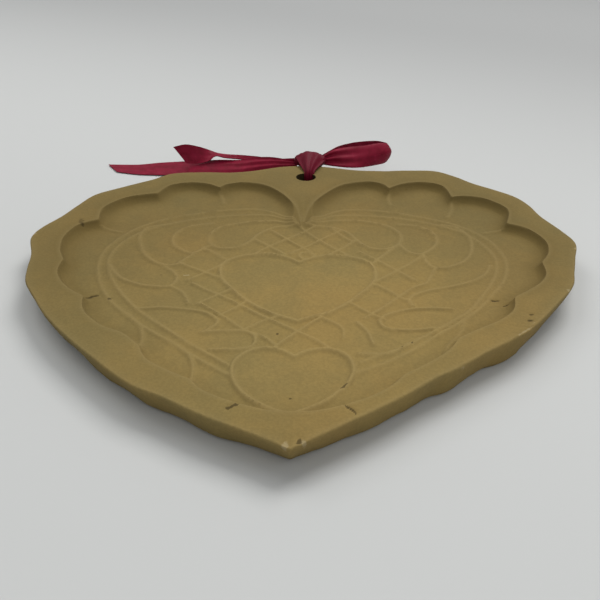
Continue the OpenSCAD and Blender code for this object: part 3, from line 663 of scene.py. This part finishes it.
# Knot. The ribbon's own turn pulled tight round the strap. It is plump and blunt at its ends, with
# folds running round it.
KNOT_AT = (2.2, 73.3, 8.8)      # mm
KNOT_HALF = (5.6, 2.3, 2.1)
rows, cols = 90, 120
end = np.linspace(-1, 1, rows)[:, None]
round_ = np.linspace(0, 2 * math.pi, cols, endpoint=False)[None]
plump = np.sqrt(np.maximum(1 - np.abs(end) ** 4.5, 0))
folds = 0.055 * np.sin(end * 11 + 1.2 * np.sin(round_ + 0.5)) * plump + 0.03 * np.sin(end * 21 + 2 * round_)
swollen = plump * (1 + folds + 0.08 * np.sin(round_ * 2 + end * 2))
knot_x = KNOT_AT[0] + KNOT_HALF[0] * end + 0.4 * np.sin(round_) * plump
knot_y = KNOT_AT[1] + KNOT_HALF[1] * swollen * np.cos(round_)
knot_z = KNOT_AT[2] + KNOT_HALF[2] * swollen * np.sin(round_) - 0.2 * end
index = np.arange(rows * cols).reshape(rows, cols)
after = np.roll(index, -1, axis=1)
knot_faces = np.stack([index[:-1], index[1:], after[1:], after[:-1]], -1).reshape(-1, 4).tolist()
mesh = mesh_of("ribbon_knot_wrap", np.stack([knot_x, knot_y, knot_z], -1).reshape(-1, 3), knot_faces)
give_uv(mesh, np.stack(np.broadcast_arrays(end * 0.004, round_ * 0.0024), -1).reshape(-1, 2))
mesh.shade_smooth()
knot = in_scene(mesh)
finish_ribbon(knot, "ribbon_knot", painted_ribbon_shade=True)

# Loop. The half bow, standing on its edge to the right of the knot and turned back on itself. Its
# front leans back at the knot and tucks in underneath at the far end.
loop_low = [[6.7, 73, 7.2], [10, 72.4, 6.9], [14.2, 72, 6.6], [18.3, 72.4, 6.4], [21.7, 74.8, 5.8],
            [25.3, 77.8, 5.3], [28.2, 80, 5.1], [29.8, 82, 5.6], [28.8, 84.8, 5], [25.8, 85.4, 4.4],
            [19, 83.6, 4.4], [13, 81, 5.2], [9, 77.8, 6.2], [6.7, 75.4, 7.2]]
loop_high = [[6.7, 74, 10.2], [10, 75.4, 11.7], [14.2, 76.6, 12.2], [18.2, 77.6, 12.3],
             [21.6, 78.8, 12.2], [25.2, 80.4, 12.3], [27.8, 82, 11.9], [29.4, 83.8, 11.1],
             [28.6, 85.6, 10.9], [25.4, 86, 11.3], [18.6, 84, 11.5], [12.6, 81.4, 11.1],
             [9, 78, 10.6], [6.7, 75.6, 10]]
loop, loop_path, loop_length = strip(
    "ribbon_loop_bow", loop_low, loop_high,
    bows=[0.2, 0.3, 0.3, 0.2, 0.9, 1.5, 1.8, 1.4, 1.2, 0.6, 0.4, 0.4, 0.3, 0.1],
    pleats=[0.35, 0.4, 0.25, 0.1, 0.05, 0.05, 0.03, 0.03, 0.02, 0.02, 0.05, 0.15, 0.3, 0.3])
finish_ribbon(loop, "ribbon_loop")

# Short tail. It leaves the knot to the left, edge-on as far as a half twist, then stands up. Its end
# is cut on the slant.
short_low = [[-2.3, 74.3, 8.3], [-10, 76.9, 7.3], [-17, 78.3, 7.1], [-22.5, 79.5, 6.7], [-28, 79.9, 6.9],
             [-31.3, 80.2, 7.4], [-34, 80.8, 5.4], [-37.3, 81.4, 4.2], [-40, 81.8, 3.9], [-42.4, 82, 4]]
short_high = [[-2.3, 75.7, 8.4], [-10, 78.6, 6.9], [-17, 80.8, 6.9], [-22.6, 82.8, 6.8], [-28, 84.6, 6.5],
              [-31.6, 85.5, 6.7], [-34.4, 85.2, 7.9], [-38, 84.4, 9.4], [-42.5, 83.8, 10.4],
              [-46.8, 83.2, 9.6]]
short_tail, short_path, short_length = strip(
    "ribbon_tail_short", short_low, short_high, bows=[0, 0.1, 0.2, 0.3, 0.3, 0.3, 0.4, 0.4, 0.4, 0.3],
    pleats=[0.3, 0.35, 0.3, 0.2, 0.12, 0.06, 0.03, 0.02, 0.02, 0.02])
finish_ribbon(short_tail, "ribbon_short_tail")

# Long tail. It leaves the knot below the short tail, slopes down behind the mould to the table and
# lies flat there, its end cut on the slant too.
long_near = [[-2.3, 72, 6.8], [-10, 71.5, 6.3], [-16, 71.9, 5.1], [-22.5, 72.8, 3.7], [-29.5, 74.2, 2.4],
             [-37, 76.2, 1.5], [-44.5, 78.2, 0.9], [-52, 79.5, 0.5], [-60, 80.2, 0.4], [-68, 82.4, 0.4]]
long_far = [[-2.3, 74.2, 7.7], [-10, 76.4, 8.2], [-16, 77.6, 7.9], [-22.5, 79.2, 6.4], [-30, 81.6, 5.5],
            [-37.5, 84, 4.2], [-45, 86, 3], [-53, 87.5, 1.9], [-61.5, 88.5, 0.7], [-72.6, 89.3, 0.4]]
long_tail, long_path, long_length = strip(
    "ribbon_tail_long", long_near, long_far,
    bows=[-0.1, -0.2, -0.3, -0.3, -0.3, -0.2, -0.15, -0.1, -0.05, -0.02],
    pleats=[0.35, 0.4, 0.3, 0.18, 0.1, 0.08, 0.06, 0.05, 0.03, 0.02])
finish_ribbon(long_tail, "ribbon_long_tail")

# ---------------------------------------------------------------------------------------------
# Studio: a plain pale table, an overcast sky, a window at the back right, a dimmer one at the back
# left and a broad fill in front. A painted shade makes the table's paper darker towards the far right.
table_mesh = bpy.data.meshes.new("table")
table_mesh.from_pydata([(-4, -3, 0), (4, -3, 0), (4, 5, 0), (-4, 5, 0)], [], [(0, 1, 2, 3)])
table = in_scene(table_mesh)
paper = bpy.data.materials.new("table_paper")
paper.use_nodes = True
nodes, links = paper.node_tree.nodes, paper.node_tree.links
shader = nodes["Principled BSDF"]
where = nodes.new("ShaderNodeTexCoord").outputs["Object"]
# Painted shade: the paper darker towards the far right
far_right = vector_of(nodes, links, "DOT_PRODUCT", where, (0.6, 1.0, 0))
paper_painted_shade = colour_ramp(nodes, links, far_right, [(0.04, (0.555, 0.565, 0.562)), (0.4, (0.36, 0.365, 0.366)),
                                                   (0.75, (0.29, 0.294, 0.296))])
links.new(paper_painted_shade, shader.inputs["Base Color"])
shader.inputs["Roughness"].default_value = 0.75
table_mesh.materials.append(paper)

world = bpy.data.worlds.new("sky")
world.use_nodes = True
world.node_tree.nodes["Background"].inputs["Color"].default_value = (0.95, 0.98, 1.0, 1)
world.node_tree.nodes["Background"].inputs["Strength"].default_value = 0.36
bpy.context.scene.world = world
# Name, place and size in metres, power in watts; each lamp is aimed at the origin
for name, at, size, watts in (("window", (0.45, 0.6, 1.1), 0.7, 10.5),
                              ("far_window", (-0.55, 0.5, 1.0), 0.7, 3.5),
                              ("front_fill", (0.3, -0.9, 0.9), 0.9, 3.2)):
    lamp = bpy.data.lights.new(name, "AREA")
    lamp.size, lamp.energy = size, watts
    lamp.color = (1.0, 0.985, 0.96)
    holder = in_scene(lamp)
    holder.location = at
    aim = -np.array(at)
    tilt, heading = math.acos(-aim[2] / np.linalg.norm(aim)), math.atan2(aim[1], aim[0]) - math.pi / 2
    holder.rotation_euler = (tilt, 0, heading)

camera_data = bpy.data.cameras.new("camera")
camera_data.lens, camera_data.sensor_width = 45, 36
camera_data.clip_start, camera_data.clip_end = 0.01, 30
camera = in_scene(camera_data)
camera.location = (0.0023, -0.1731, 0.103)
camera.rotation_euler = (math.radians(58.5), 0, 0.01488)        # looking 31.5 degrees down
bpy.context.scene.camera = camera
bpy.context.scene.view_settings.view_transform = "Standard"
